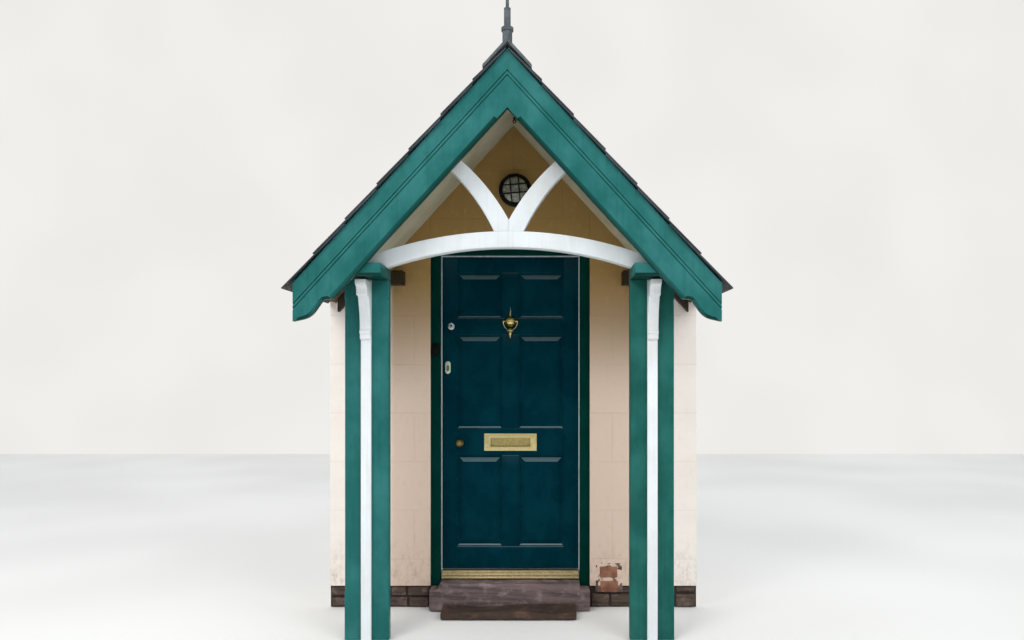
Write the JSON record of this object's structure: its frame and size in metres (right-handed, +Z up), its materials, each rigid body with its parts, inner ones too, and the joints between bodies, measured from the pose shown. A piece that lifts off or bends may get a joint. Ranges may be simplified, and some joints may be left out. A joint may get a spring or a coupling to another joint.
{
  "type": "gabled entrance porch",
  "caption": "Gabled timber entrance porch with slate roof, carved bargeboards, posts, arched tie and curved braces, on a rendered house wall with its panelled front door.",
  "frame": {"origin": "on the ground in line with the house wall's outer face, under the middle of the porch roof", "axes": "+X to the right as seen from outside, +Y into the house, +Z up"},
  "size_m": [2.2954, 1.167, 3.5183],
  "materials": {
    "render": "painted lime render",
    "sill_stone": "weathered sandstone",
    "step_stone": "worn brown sandstone",
    "frame_paint": "gloss paint, very dark green",
    "door_paint": "gloss paint, very dark teal",
    "green_paint": "gloss paint, sea green",
    "dark_stain": "dark brown stained softwood",
    "white_paint": "gloss paint, white",
    "soffit_paint": "old cream paint",
    "bare_softwood": "unpainted softwood",
    "white_strip": "white draught strip",
    "brass": "polished brass, a little dulled",
    "aged_brass": "worn brass",
    "nickel": "satin nickel",
    "keyhole_cover": "pale enamelled cover",
    "black_plastic": "black",
    "black_metal": "black",
    "light_glass": "ribbed glass",
    "slate": "natural slate",
    "ridge_grey": "grey ridge stone",
    "lead": "weathered lead"
  },
  "bodies": {
    "porch": {"wall_left": "render", "wall_right": "render", "wall_over_door": "render", "sill_stone": "sill_stone", "front_step": "step_stone", "frame_jamb_left": "frame_paint", "frame_jamb_right": "frame_paint", "frame_head": "frame_paint", "draught_strips": "white_strip", "door_sill": "frame_paint", "brass_threshold": "brass", "hinges": "brass", "bell_push": "black_plastic", "post_left": "green_paint", "post_right": "green_paint", "pilaster_left": "white_paint", "pilaster_right": "white_paint", "console_left": "white_paint", "console_right": "white_paint", "plate_left": "green_paint", "plate_right": "green_paint", "wall_block_left": "dark_stain", "wall_block_right": "dark_stain", "arch_tie": "white_paint", "brace_left": "white_paint", "brace_right": "white_paint", "barge_rafter_left": "green_paint", "barge_rafter_right": "green_paint", "bargeboard_left": "green_paint", "bargeboard_right": "green_paint", "wall_rafters": "bare_softwood", "soffit_left": "soffit_paint", "soffit_right": "soffit_paint", "roof_boards_left": "bare_softwood", "roof_boards_right": "bare_softwood", "slates_left": "slate", "slates_right": "slate", "ridge_tiles": "ridge_grey", "finial": "ridge_grey", "flashings": "lead", "light_body": "black_metal", "light_glass": "light_glass"},
    "door": {"door_stiles": "door_paint", "door_rails": "door_paint", "lock_rail": "door_paint", "door_muntins": "door_paint", "door_panels": "door_paint", "panel_mouldings": "door_paint", "letter_plate": "brass", "knocker_plate": "brass", "knob_roses": "aged_brass", "cylinder_lock": "nickel", "keyhole_cover": "keyhole_cover"},
    "flap": {"letter_flap": "brass"},
    "knocker": {"knocker_bail": "brass"},
    "knob": {"door_knobs": "aged_brass"}
  },
  "joints": [
    {"name": "door_swing", "type": "hinge", "parent": "porch", "child": "door", "pos_m": [0.4205, 0.1063, 1.2], "axis": [0, 0, -1], "range_deg": [0, 90]},
    {"name": "flap_swing", "type": "hinge", "parent": "door", "child": "flap", "pos_m": [-0.02, 0.062, 1.0435], "axis": [1, 0, 0], "range_deg": [0, 70], "stiffness_Nm_per_rad": 0.3},
    {"name": "knocker_lift", "type": "hinge", "parent": "door", "child": "knocker", "pos_m": [-0.02, 0.0265, 1.765], "axis": [-1, 0, 0], "range_deg": [0, 75]},
    {"name": "knob_turn", "type": "hinge", "parent": "door", "child": "knob", "pos_m": [-0.331, 0.0775, 1.012], "axis": [0, -1, 0], "range_deg": [-50, 50], "stiffness_Nm_per_rad": 0.5}
  ]
}
